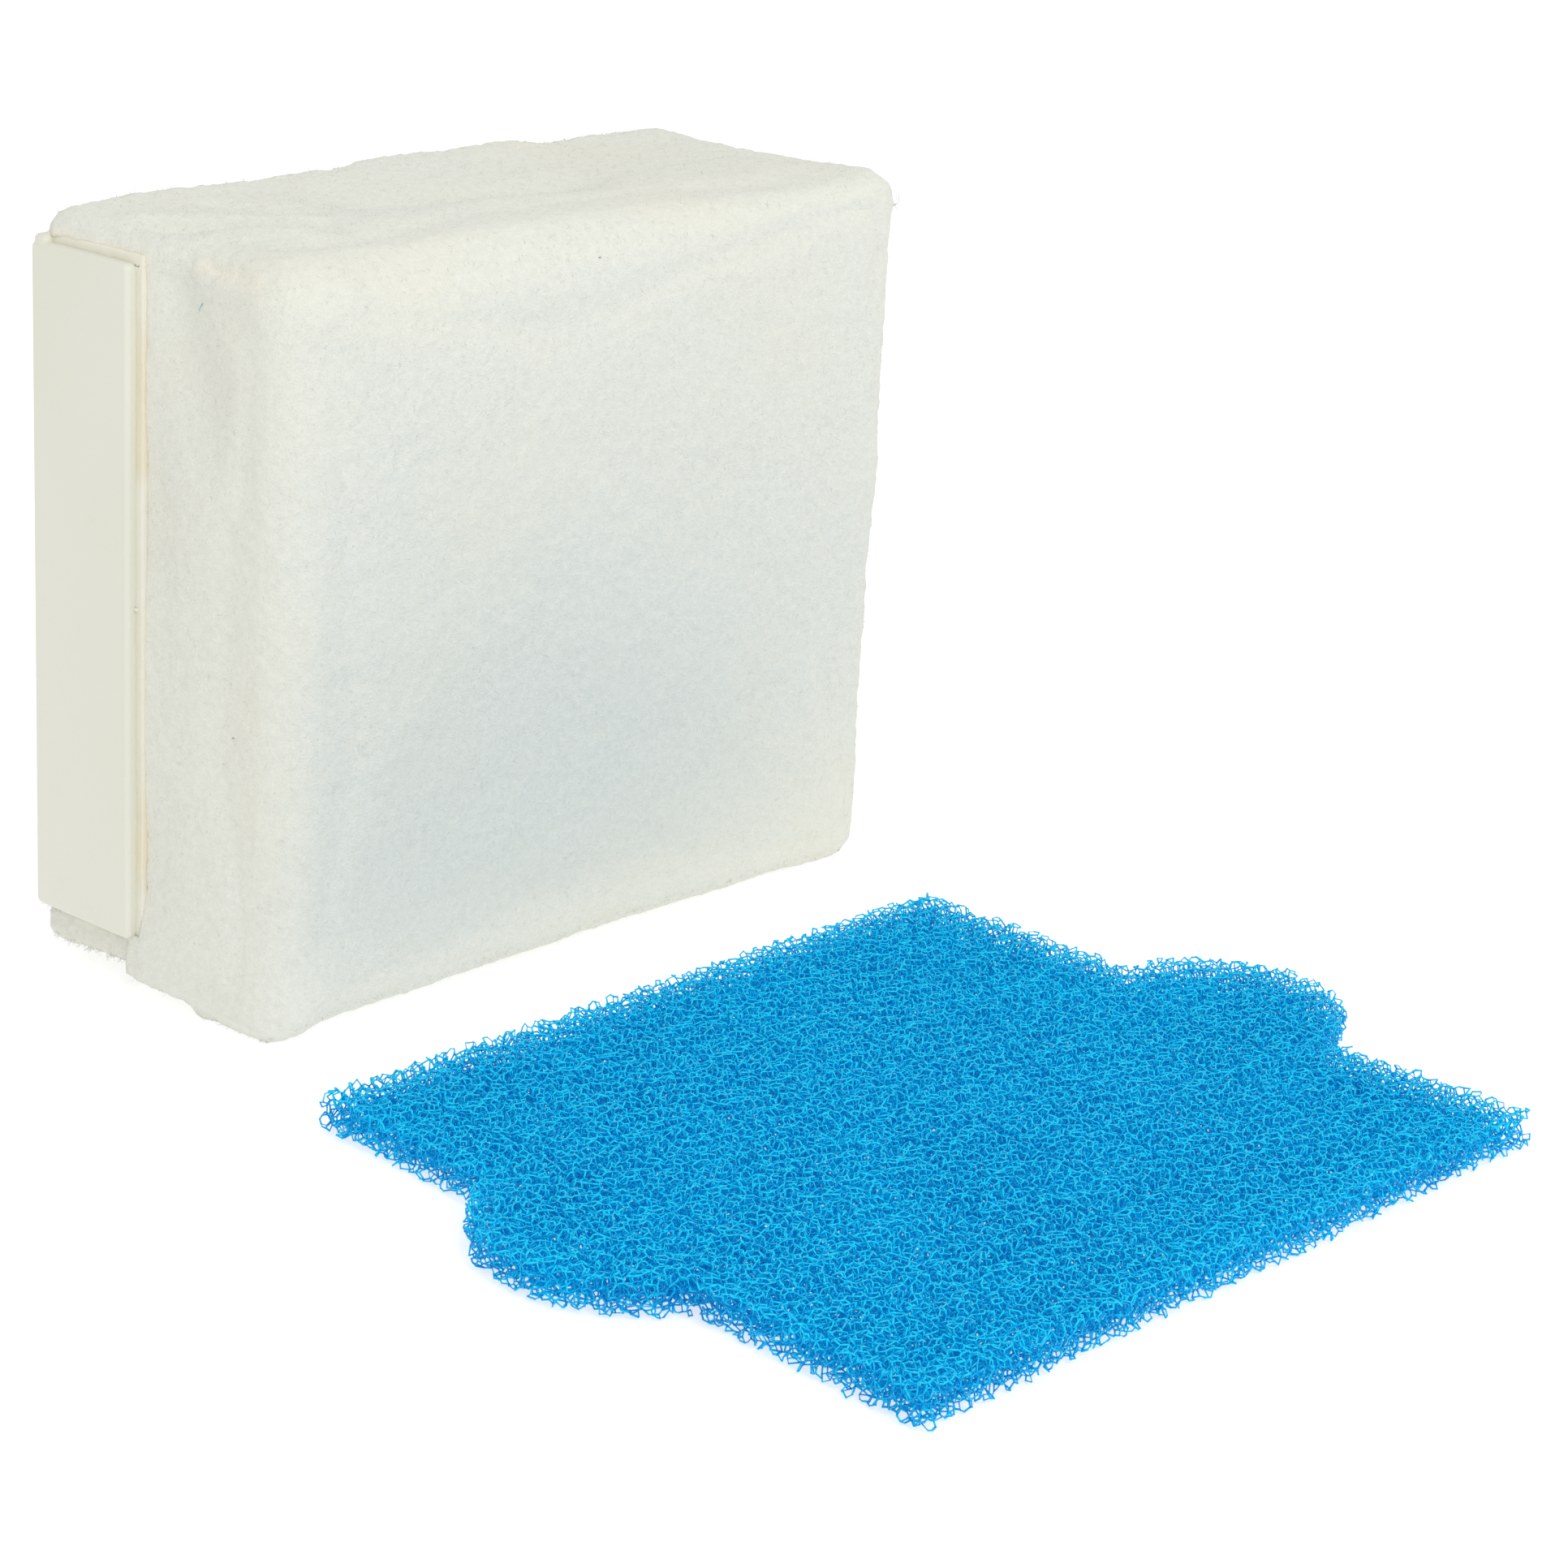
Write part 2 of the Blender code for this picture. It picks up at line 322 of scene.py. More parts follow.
def glueMaterial():
    # the bead is amber in bands up its height and milky where the fleece has soaked it up; the amber is the
    # glue's colour darkened as painted shade for the corner beside the plate
    material, tree, shader = newMaterial("hotMelt")
    cloud = noiseNode(tree, 260.0, 3.0)
    amberShadeBands = heightRamp(tree, 0.0, 0.17, [
        (0.12, grey(0.0)), (0.17, grey(0.90)), (0.24, grey(0.85)), (0.30, grey(0.35)), (0.50, grey(0.45)),
        (0.54, grey(0.05)), (0.67, grey(0.10)), (0.70, grey(0.95)), (0.84, grey(0.90)), (0.90, grey(0.35))])
    mottled = mixColours(tree, cloud.outputs["Fac"], glueLook["milky"], glueLook["pale"])
    tree.links.new(mixColours(tree, amberShadeBands, mottled, glueLook["amberAndShade"]), shader.inputs["Base Color"])
    shader.inputs["Roughness"].default_value = 0.32
    shader.inputs["IOR"].default_value = 1.48
    bumpChain(tree, shader, [(cloud.outputs["Fac"], 0.0004, 0.4)])
    return material


# skin is a painted highlight colour, mixed into the top part of the mat
foamLook = {"strut": (0.000, 0.500, 0.900), "deep": (0.000, 0.350, 0.770), "pale": (0.005, 0.650, 0.960),
            "skin": (0.008, 0.690, 0.985)}


def strutMaterial():
    material, tree, shader = newMaterial("foamStrut")
    tone = noiseNode(tree, 45.0, 3.0)
    cells = noiseNode(tree, 560.0, 2.0)
    body = rampNode(tree, tone.outputs["Fac"], [(0.32, foamLook["deep"]), (0.68, foamLook["strut"])])
    # random pale flecks: partly the foam's own tone, partly painted highlight standing in for bright arcs on
    # the struts
    fleckAndGlint = rampNode(tree, cells.outputs["Fac"], [(0.47, grey(0.0)), (0.68, grey(1.0))])
    inner = mixColours(tree, fleckAndGlint, body, foamLook["pale"])
    # painted highlight: the struts near the mat's top are mixed toward the lighter skin colour, as if lit
    # more from above
    paintedTopLight = heightRamp(tree, 0.0, 0.0085, [(0.70, grey(0.0)), (0.94, grey(0.80))])
    tree.links.new(mixColours(tree, paintedTopLight, inner, foamLook["skin"]), shader.inputs["Base Color"])
    shader.inputs["Roughness"].default_value = 0.30
    shader.inputs["Specular IOR Level"].default_value = 0.20
    # painted light: the struts glow faintly blue, standing in for light passing on inside the foam, which
    # lifts their shaded side
    shader.inputs["Emission Color"].default_value = (0.0, 0.31, 0.64, 1.0)
    shader.inputs["Emission Strength"].default_value = 0.12
    bumpChain(tree, shader, [(cells.outputs["Fac"], 0.0001, 0.3)])
    return material


def spongeMaterial():
    material, tree, shader = newMaterial("coreSponge")
    pores = noiseNode(tree, 900.0, kind="ShaderNodeTexVoronoi")
    tone = noiseNode(tree, 60.0, 3.0)
    body = rampNode(tree, tone.outputs["Fac"], [(0.35, (0.66, 0.66, 0.57)), (0.65, (0.74, 0.74, 0.66))])
    # painted shade: the colour is darkened in the middle of each pore, as shade inside the holes
    poreShade = rampNode(tree, pores.outputs["Distance"], [(0.10, (0.42, 0.42, 0.36)), (0.55, grey(1.0))])
    tree.links.new(mixColours(tree, 0.8, body, poreShade, "MULTIPLY"), shader.inputs["Base Color"])
    shader.inputs["Roughness"].default_value = 0.95
    bumpChain(tree, shader, [(pores.outputs["Distance"], 0.0006, 0.8)])
    return material


feltLook = fleeceMaterial("fleeceFelt", 1.0)
# painted shade: the strip uses a slightly darker copy of the fleece, for the shade under the end plate's
# overhang
shadedStripLook = fleeceMaterial("fleeceStripShaded", 0.97)
speckLook = threadMaterial("darkSpeck", (0.10, 0.10, 0.09), (0.20, 0.19, 0.17))
hairLook = fibreMaterial()
threadLook = threadMaterial("strayThread", (0.22, 0.42, 0.50), (0.30, 0.52, 0.60))
moulded = plasticMaterial()
glue = glueMaterial()
strutLook = strutMaterial()
spongeLook = spongeMaterial()
print("materials ready")


# camera, floor and light
view = {
    "place": (-0.6150, -0.6083, 0.33365),
    "yaw": math.radians(49.411),
    "pitch": math.radians(18.966),
    "roll": math.radians(3.215),
    "lens": 90.66,
    "sensor": 36.0,
}


def addCamera():
    forward = Vector((math.sin(view["yaw"]) * math.cos(view["pitch"]),
                      math.cos(view["yaw"]) * math.cos(view["pitch"]), -math.sin(view["pitch"])))
    level = forward.cross(Vector((0.0, 0.0, 1.0))).normalized()
    upright = level.cross(forward)
    right = level * math.cos(view["roll"]) + upright * math.sin(view["roll"])
    up = right.cross(forward)
    data = bpy.data.cameras.new("studioCamera")
    data.sensor_width = view["sensor"]
    data.lens = view["lens"]
    camera = bpy.data.objects.new("studioCamera", data)
    turn = Matrix((right, up, -forward)).transposed().to_4x4()
    camera.matrix_world = Matrix.Translation(view["place"]) @ turn
    bpy.context.scene.collection.objects.link(camera)
    bpy.context.scene.camera = camera


studio = {
    "sky": (1.0, 1.0, 1.0),
    "skyStrength": 0.83,
    "floor": (0.52, 0.52, 0.52),
    "floorGlow": 0.62,
    "floorSize": 9.0,
    "floorDrop": 0.0004,        # the floor lies this far under the pieces
    "keyPlace": (-0.36, -1.20, 1.30),
    "keyAim": (0.0, 0.0, 0.08),
    "keySize": 0.9,
    "keyPower": 9.5,
}


def addStudio():
    world = bpy.data.worlds.new("paleStudio")
    world.use_nodes = True
    background = world.node_tree.nodes["Background"]
    background.inputs["Color"].default_value = (*studio["sky"], 1.0)
    background.inputs["Strength"].default_value = studio["skyStrength"]
    bpy.context.scene.world = world
    bpy.context.scene.view_settings.view_transform = "Standard"
    deselectAll()
    bpy.ops.mesh.primitive_plane_add(size=studio["floorSize"], location=(0.0, 0.0, -studio["floorDrop"]))
    floor = bpy.context.active_object
    floor.name = "studioFloor"
    material, tree, shader = newMaterial("paleFloor")
    shader.inputs["Base Color"].default_value = (*studio["floor"], 1.0)
    shader.inputs["Roughness"].default_value = 0.9
    shader.inputs["Specular IOR Level"].default_value = 0.1
    shader.inputs["Emission Color"].default_value = (1.0, 1.0, 1.0, 1.0)
    shader.inputs["Emission Strength"].default_value = studio["floorGlow"]
    floor.data.materials.append(material)
    bakePlace(floor)
    light = bpy.data.lights.new("softKey", "AREA")
    light.shape = "DISK"
    light.size = studio["keySize"]
    light.energy = studio["keyPower"]
    key = bpy.data.objects.new("softKey", light)
    key.location = studio["keyPlace"]
    aim = Vector(studio["keyAim"]) - Vector(studio["keyPlace"])
    key.rotation_euler = aim.to_track_quat("-Z", "Y").to_euler()
    bpy.context.scene.collection.objects.link(key)


addCamera()
addStudio()
print("camera and studio ready")


# fleece jacket
jacket = {
    "skin": 0.0003,             # how far the rounded shape starts inside the nominal one
    "leftEdge": 0.0105,         # rounding of the upright front edges
    "rightEdge": 0.0038,
    "rearCorner": 0.0040,       # rounding of the top flap's rear corners, seen from above
    "topFront": 0.0150,         # rounding of the top edges, front, right and sides
    "topFrontRight": 0.0044,
    "topSide": 0.0080,
    "topPlate": 0.0054,         # rounding of the flap above the end plates
    "topRear": 0.0034,          # rounding of the flap's rear edge between them
    "foot": 0.0014,             # rounding under the sides
    "footFront": 0.0108,        # rounding under the front, and under its right end
    "footFrontRight": 0.0080,
    "block": 0.0037,            # rounding of the block before it is shaped
    "voxel": 0.0051,
    "pressure": 4.0,            # air pressure inside the skin while it is blown up, and for how many frames
    "frames": 20,
    "swellCap": 0.0016,         # the furthest that any point may swell out
    "wall": 0.0030,             # thickness of the fleece
    "rimDip": 0.0006,           # how far the fleece dives in beside the plates, and from how far in front
    "rimReach": 0.0034,
    "underBead": 0.0001,        # how far in front of the plates the sides of the fleece end
    "overStrip": 0.0012,        # how far the underside reaches over the strip behind it
    "rearTuck": 0.0040,         # how far in front of the grille's face the inner skin ends
    "lumpSize": 0.024,
    "lumpDepth": 0.0012,
    "grainSize": 0.0024,
    "grainDepth": 0.0009,
}

glueSeam = [(-0.0926, 0.006, 0.1658), (-0.0926, -0.0130, 0.1650)]

# folds and dents: the line that each one follows, its half width, and its height, all in metres
jacketFolds = [
    ([(-0.091, 0.032, 0.169), (-0.082, 0.0225, 0.169), (-0.075, 0.017, 0.169), (-0.069, 0.0105, 0.169),
      (-0.0645, 0.0063, 0.169), (-0.0605, 0.0005, 0.169), (-0.0600, -0.009, 0.168)], 0.0032, -0.0032),
    ([(-0.062, 0.043, 0.169), (-0.0565, 0.034, 0.169), (-0.0505, 0.0225, 0.169), (-0.045, 0.012, 0.169)],
     0.0034, -0.0020),
    ([(-0.084, 0.034, 0.169), (-0.070, 0.022, 0.169), (-0.060, 0.010, 0.169)], 0.0044, 0.0014),
    ([(-0.082, 0.010, 0.169), (-0.072, -0.001, 0.169)], 0.0050, 0.0012),
    ([(-0.087, -0.019, 0.165), (-0.079, -0.022, 0.162)], 0.0090, 0.0024),
    ([(-0.044, 0.030, 0.169), (-0.023, 0.024, 0.169), (0.000, 0.019, 0.169), (0.020, 0.013, 0.169),
      (0.056, 0.012, 0.169)], 0.0100, -0.0026),
    ([(-0.030, -0.010, 0.169), (0.075, -0.010, 0.169)], 0.0090, 0.0008),
    ([(0.001, 0.049, 0.169), (0.020, 0.051, 0.169), (0.038, 0.051, 0.169)], 0.0130, 0.0024),
    ([(-0.092, 0.051, 0.167), (-0.024, 0.053, 0.169)], 0.0110, 0.0012),
    ([(0.091, 0.044, 0.168), (0.091, -0.018, 0.167)], 0.0085, 0.0014),
    ([(0.092, 0.046, 0.168), (0.070, 0.052, 0.168)], 0.0075, 0.0006),
    ([(0.092, -0.024, 0.158), (0.092, -0.024, 0.008)], 0.0145, 0.0017),
    ([(0.092, -0.024, 0.150), (0.092, -0.024, 0.100)], 0.0260, 0.0006),
    (glueSeam, 0.0018, -0.0012),
    ([(-0.0926, 0.020, 0.163), (-0.0926, 0.014, 0.156), (-0.0926, 0.0085, 0.150), (-0.0926, 0.003, 0.140),
      (-0.0926, 0.000, 0.112)], 0.0088, -0.0040),
    ([(-0.0926, 0.002, 0.108), (-0.0926, 0.002, 0.020)], 0.0130, -0.0007),
    ([(-0.020, -0.0246, 0.100), (0.030, -0.0246, 0.074)], 0.0260, 0.0012),
    ([(-0.0926, 0.022, 0.003), (-0.0926, -0.012, 0.003)], 0.0130, 0.0026),
]


def lineDistance(points, line):
    # distance from each point to a line laid on the rounded box, and how far along it the nearest place is
    corners = np.array(line)
    share = np.linspace(0.0, 1.0, 8 * (len(corners) - 1) + 1)
    step = np.linspace(0.0, 1.0, len(corners))
    laid = layOnBox(np.stack([np.interp(share, step, corners[:, axis]) for axis in range(3)], axis=1))
    nearest, place = np.full(len(points), 1e9), np.zeros(len(points))
    for index, (start, end) in enumerate(zip(laid[:-1], laid[1:])):
        along = end - start
        part = np.clip(((points - start) @ along) / (along @ along), 0.0, 1.0)
        distance = np.linalg.norm(points - (start + part[:, None] * along), axis=1)
        closer = distance < nearest
        nearest = np.where(closer, distance, nearest)
        place = np.where(closer, (index + part) / (len(laid) - 1), place)
    return nearest, place


def feltDistance(points):
    # how far each point stands outside the jacket's rounded box, whose rounding changes along its edges
    low = np.array([jacketLow.x + jacket["skin"], jacketLow.y + jacket["skin"], 0.0])
    high = np.array([jacketHigh.x, grilleHigh.y, jacketHigh.z]) - jacket["skin"]
    middle, half = (low + high) / 2, (high - low) / 2
    x, y, z = points.T
    behind = softStep(y, 0.004, 0.022)
    upright = jacket["leftEdge"] + (jacket["rightEdge"] - jacket["leftEdge"]) * softStep(x, -0.03, 0.03)
    plan = upright + (jacket["rearCorner"] - upright) * behind
    towardFront = 1.0 - softStep(y, -0.020, -0.006)
    towardRear = softStep(y, 0.036, 0.048)
    front = jacket["topFront"] + (jacket["topFrontRight"] - jacket["topFront"]) * softStep(x, -0.03, 0.085)
    side = jacket["topSide"] + (jacket["topFrontRight"] - jacket["topSide"]) * softStep(x, 0.0, 0.04)
    top = side + (front - side) * towardFront
    top = top + (jacket["topPlate"] - top) * behind
    top = top + (jacket["topRear"] - top) * towardRear * (1.0 - softStep(np.abs(x), 0.076, 0.086))
    footFront = jacket["footFront"]
    footFront = footFront + (jacket["footFrontRight"] - footFront) * softStep(x, 0.0, 0.085)
    forward = softStep(x, -0.097, -0.080) * (1.0 - softStep(y, -0.006, 0.012))
    foot = jacket["foot"] + (footFront - jacket["foot"]) * forward
    edge = foot + (top - foot) * softStep(z, 0.050, 0.110)
    across = np.abs(points[:, :2] - middle[:2]) - half[:2] + plan[:, None]
    sideways = np.linalg.norm(np.maximum(across, 0.0), axis=1) + np.minimum(across.max(axis=1), 0.0) - plan
    inward = np.stack([sideways + edge, np.abs(z - middle[2]) - half[2] + edge], axis=1)
    return np.linalg.norm(np.maximum(inward, 0.0), axis=1) + np.minimum(inward.max(axis=1), 0.0) - edge


def feltNormal(points):
    step = 0.00005
    slope = np.stack([feltDistance(points + shift) - feltDistance(points - shift)
                      for shift in np.eye(3) * step], axis=1)
    return slope / np.maximum(np.linalg.norm(slope, axis=1, keepdims=True), 1e-12)


def puffUp(thing):
    # the fleece is blown up a little, and no point goes further than the cap
    rest = readPoints(thing)
    cloth = thing.modifiers.new("fleecePuff", "CLOTH")
    cloth.settings.use_pressure = True
    cloth.settings.uniform_pressure_force = jacket["pressure"]
    cloth.settings.effector_weights.gravity = 0.0
    cloth.settings.quality = 6
    cloth.point_cache.frame_start = 1
    cloth.point_cache.frame_end = jacket["frames"]
    for step in range(1, jacket["frames"] + 1):
        bpy.context.scene.frame_set(step)
    pick(thing)
    bpy.ops.object.modifier_apply(modifier=cloth.name)
    bpy.context.scene.frame_set(1)
    moved = readPoints(thing) - rest
    length = np.linalg.norm(moved, axis=1, keepdims=True)
    writePoints(thing, rest + moved * np.minimum(1.0, jacket["swellCap"] / np.maximum(length, 1e-9)))


def layOnBox(points):
    for _ in range(4):
        points = points - feltNormal(points) * feltDistance(points)[:, None]
    return points


def sculptFelt(block):
    # lays the puffed skin on the rounded box and presses the folds into it
    points = readPoints(block)
    puff = np.clip(feltDistance(points), 0.0, jacket["swellCap"])
    points = layOnBox(points)
    x, y, z = points.T
    stiff = softStep(y, 0.004, 0.020)      # the frame holds the fleece flat behind this
    height = puff * (1.0 - 0.85 * stiff)
    for line, width, rise in jacketFolds:
        distance, place = lineDistance(points, line)
        fade = softStep(np.minimum(1.6 * place, 1.0 - place), 0.0, 0.32) if rise < 0.0 else 1.0
        height += rise * fade * np.exp(-(distance / width) ** 2)
    # the glue holds the fleece near the end plates
    held = softStep(y, 0.010, 0.020) * softStep(z, 0.014, 0.030) * (z < plateHigh.z) * (np.abs(x) > 0.088)
    height *= 1.0 - 0.85 * held
    # the fleece dives in beside the front edges of the end plates, unevenly
    beside = (np.abs(x) > abs(jacketLow.x) - 0.0022) & (z < plateHigh.z)
    near = np.clip((y - (plateLow.y - jacket["rimReach"])) / jacket["rimReach"], 0.0, 1.0)
    wave = 0.55 + 0.45 * np.sin(z * 62.0 + 0.6) + 0.18 * np.sin(z * 171.0 + x * 40.0)
    dip = jacket["rimDip"] * np.clip(wave, 0.12, 1.3) * (1.0 - np.sqrt(1.0 - near ** 2))
    height -= np.where(beside, dip, 0.0)
    points += feltNormal(points) * height[:, None]
    points[:, 2] = np.maximum(points[:, 2], 0.0001)
    writePoints(block, points)


def openRear(block):
    # opens the box behind, beside the end plates and behind the underside
    rear = grilleHigh.y - jacket["rearTuck"]
    sideRear = plateLow.y - jacket["underBead"]
    undersideRear = stripLow.y + jacket["overStrip"]
    cutTop = plateHigh.z + 0.0006
    cutBottom = plateLow.z - 0.0002
    mesh = bmesh.new()
    mesh.from_mesh(block.data)
    for place, normal in (((0, sideRear, 0), (0, 1, 0)), ((0, undersideRear, 0), (0, 1, 0)),
                          ((0, rear, 0), (0, 1, 0)), ((0, 0, cutTop), (0, 0, 1)),
                          ((0, 0, cutBottom), (0, 0, 1))):
        bmesh.ops.bisect_plane(mesh, geom=mesh.verts[:] + mesh.edges[:] + mesh.faces[:], dist=1e-6,
                               plane_co=place, plane_no=normal)
    gone = []
    for face in mesh.faces:
        centre = face.calc_center_median()
        behind = centre.y > rear and centre.z < cutTop
        beside = centre.y > sideRear and cutBottom < centre.z < cutTop
        below = centre.y > undersideRear and centre.z < cutBottom
        if behind or beside or below:
            gone.append(face)
    bmesh.ops.delete(mesh, geom=gone, context="FACES")
    mesh.to_mesh(block.data)
    mesh.free()


# how much glue shows beside the plates, in the flap above them and in the seam, and how far it reaches
soaked = {"rim": 0.28, "flap": 0.50, "seam": 0.52, "rimWidth": 0.0036, "seamWidth": 0.0015,
          "skinDepth": 0.0040}


def soakFelt(block):
    # marks where glue has soaked into the fleece, for its material
    points = readPoints(block)
    x, y, z = points.T
    side = softStep(np.abs(x), abs(jacketLow.x) - 0.0040, abs(jacketLow.x) - 0.0015)
    besidePlate = softStep(y, plateLow.y - soaked["rimWidth"], plateLow.y - 0.0016)
    besidePlate = besidePlate * (z < plateHigh.z + 0.001)
    abovePlate = softStep(y, 0.018, 0.024) * softStep(z, plateHigh.z - 0.0020, plateHigh.z)
    abovePlate *= 1.0 - softStep(z, plateHigh.z + 0.0012, plateHigh.z + 0.0026)
    seam = np.exp(-(lineDistance(layOnBox(points), glueSeam)[0] / soaked["seamWidth"]) ** 2)
    seam = seam * (feltDistance(points) > -soaked["skinDepth"])
    besidePlate = besidePlate * softStep(z, plateLow.z + 0.0020, plateLow.z + 0.0120)
    beside = soaked["rim"] * besidePlate + soaked["flap"] * abovePlate
    soak = np.clip(side * beside + soaked["seam"] * seam, 0.0, 1.0)
    layer = block.data.attributes.new("glueSoak", "FLOAT", "POINT")
    layer.data.foreach_set("value", soak.astype(np.float32))


def buildJacket():
    low = Vector((jacketLow.x, jacketLow.y, 0.0))
    high = Vector((jacketHigh.x, grilleHigh.y, jacketHigh.z))
    block = addBlock("fleece_jacket_soft", low, high)
    roundEdges(block, jacket["block"], 2)
    evenMesh(block, jacket["voxel"])
    writePoints(block, layOnBox(readPoints(block)))
    puffUp(block)
    print("jacket shaped", len(block.data.polygons), "faces")
    smoothSurface(block, 2)
    sculptFelt(block)
    openRear(block)
    solidify = block.modifiers.new("feltWall", "SOLIDIFY")
    solidify.thickness = jacket["wall"]
    solidify.offset = -1.0
    solidify.use_even_offset = False
    cloudsDisplace(block, "softLumps", jacket["lumpSize"], 1, jacket["lumpDepth"])
    cloudsDisplace(block, "feltGrain", jacket["grainSize"], 2, jacket["grainDepth"])
    applyModifiers(block)
    points = readPoints(block)
    points[:, 2] = np.maximum(points[:, 2], 0.0001)
    writePoints(block, points)
    soakFelt(block)
    block.data.shade_smooth()
    return block


jacketSoft = buildJacket()
rideOn(jacketSoft, "cartridge", feltLook)
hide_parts("fleece_jacket")
print("fleece jacket", len(jacketSoft.data.polygons), "faces")


# coarse foam mat
foam = {
    "cell": 0.0033,
    "jitter": 0.075,            # how far a junction is off its place, as a share of the cell
    "turn": (0.41, 0.23, 0.37),
    "strutRadius": 0.000192,
    "radiusSpread": 0.18,
    "stoutBase": 0.65,          # how much thicker the struts are in the mat's lower half, away from its rim
    "stoutDepth": (0.30, 0.85), # over which part of the thickness that builds up, and how far from the rim
    "stoutRim": (0.003, 0.008),
    "under": 0.0003,            # room left for the struts' own thickness, under the mat and over it
    "over": 0.0002,
    "pastEnd": 0.4,             # how far a strut reaches past its junction, in radii
    "repeat": 48,               # the shaking of the junctions repeats after this many quarter cells
    "pressIn": 0.00060,         # junctions up to this far outside the two cut faces are pressed into them
    "prunings": 6,
    "ragged": 0.0010,
    "raggedSize": 260.0,
    "swells": ((0.0007, 410.0, 0.0), (0.0005, 730.0, 1.3)),
    "columns": 5,
    "rows": 2,
    "seed": 7,
}


def matOutline():
    # the rim of the CAD mat's underside, in order
    mesh = bmesh.new()
    mesh.from_mesh(bpy.data.objects["foam_mat"].data)
    bmesh.ops.remove_doubles(mesh, verts=mesh.verts, dist=1e-6)
    following = {}
    for face in mesh.faces:
        if face.normal.z < -0.9:
            for loop in face.loops:
                if sum(other.normal.z < -0.9 for other in loop.edge.link_faces) == 1:
                    following[loop.vert.index] = loop.link_loop_next.vert.index
    places = {vertex.index: vertex.co.xy[:] for vertex in mesh.verts}
    mesh.free()
    outline = [next(iter(following))]
    while following[outline[-1]] != outline[0]:
        outline.append(following[outline[-1]])
    return np.array([places[index] for index in outline])


def insideDistance(points, outline):
    # how far each point is inside the outline, negative outside
    nearest = np.full(len(points), 1e9)
    inside = np.zeros(len(points), bool)
    for start, end in zip(outline, np.roll(outline, -1, axis=0)):
        along = end - start
        share = np.clip(((points - start) @ along) / (along @ along), 0.0, 1.0)
        nearest = np.minimum(nearest, np.linalg.norm(points - (start + share[:, None] * along), axis=1))
        crosses = (start[1] > points[:, 1]) != (end[1] > points[:, 1])
        height = along[1] if along[1] != 0.0 else 1e-12
        inside ^= crosses & (points[:, 0] < along[0] * (points[:, 1] - start[1]) / height + start[0])
    return np.where(inside, nearest, -nearest)


def cellEdges():
    # edges of one fourteen-sided foam cell in quarter cells, each shared edge kept once
    corners = [Vector(point) for point in sorted({
        tuple(sign[axis] * step[axis] for axis in range(3))
        for step in ((0, 1, 2), (0, 2, 1), (1, 0, 2), (1, 2, 0), (2, 0, 1), (2, 1, 0))
        for sign in ((1, 1, 1), (1, 1, -1), (1, -1, 1), (1, -1, -1),
                     (-1, 1, 1), (-1, 1, -1), (-1, -1, 1), (-1, -1, -1))})]
    edges = set()
    for index, first in enumerate(corners):
        for second in corners[index + 1:]:
            if abs((first - second).length_squared - 2.0) < 0.01:
                base = [math.floor((first[axis] + second[axis]) / 8) * 4 for axis in range(3)]
                ends = sorted(tuple(int(point[axis]) - base[axis] for axis in range(3))
                              for point in (first, second))
                edges.add(tuple(ends))
    return np.array(sorted(edges))


def foamSkeleton(generator):
    # end points of every strut in a block that covers the mat
    turn = np.array(Matrix.Rotation(foam["turn"][2], 3, "Z") @ Matrix.Rotation(foam["turn"][1], 3, "Y")
                    @ Matrix.Rotation(foam["turn"][0], 3, "X"))
    middle = np.array((matLow + matHigh) / 2)
    reach = np.array((matHigh - matLow) / 2) + 1.3 * foam["cell"]
    count = int(np.linalg.norm(reach) / foam["cell"]) + 2
    steps = np.arange(-count, count + 1)
    cells = []
    for layer in steps:
        grid = np.stack(np.meshgrid(steps, steps, [layer], indexing="ij"), axis=-1).reshape(-1, 3)
        place = (grid * foam["cell"]) @ turn.T
        cells.append(grid[np.all(np.abs(place) < reach, axis=1)])
    ends = cellEdges()[None] + 4 * np.concatenate(cells)[:, None, None, :]
    ends = ends.reshape(-1, 2, 3)
    shake = generator.normal(0.0, foam["jitter"], (foam["repeat"],) * 3 + (3,))
    key = ends % foam["repeat"]
    shaken = ends / 4.0 + shake[key[..., 0], key[..., 1], key[..., 2]]
    points = (shaken * foam["cell"]) @ turn.T + middle
    # slow swells make neighbouring cells differ in size
    for depth, rate, start in foam["swells"]:
        points = points + depth * np.sin(points[..., [1, 2, 0]] * rate + start)
    span = 8 * count        # more quarter cells than the block has, so every junction gets its own number
    junctions = ((ends + span) * np.array([(4 * span) ** 2, 4 * span, 1])).sum(axis=-1)
    return points, junctions


def wholeCells(struts, junctions, outline):
    # keeps the struts inside the mat, and drops those that hang by one end only
    low, high = matLow.z + foam["under"], matHigh.z - foam["over"]
    level = struts[..., 2]
    keep = np.all((level > low - foam["pressIn"]) & (level < high + foam["pressIn"]), axis=1)
    struts, junctions = struts[keep], junctions[keep]
    struts[..., 2] = np.clip(struts[..., 2], low, high)
    ends = struts.reshape(-1, 3)
    shake = np.array([noise.noise(Vector(point) * foam["raggedSize"]) for point in ends])
    keep = (insideDistance(ends[:, :2], outline) + foam["ragged"] * shake > 0.0).reshape(-1, 2).all(axis=1)
    struts, junctions = struts[keep], junctions[keep]
    for _ in range(foam["prunings"]):
        _, place, count = np.unique(junctions, return_inverse=True, return_counts=True)
        firm = (count[place.reshape(junctions.shape)] > 1).all(axis=1)
        struts, junctions = struts[firm], junctions[firm]
    return struts


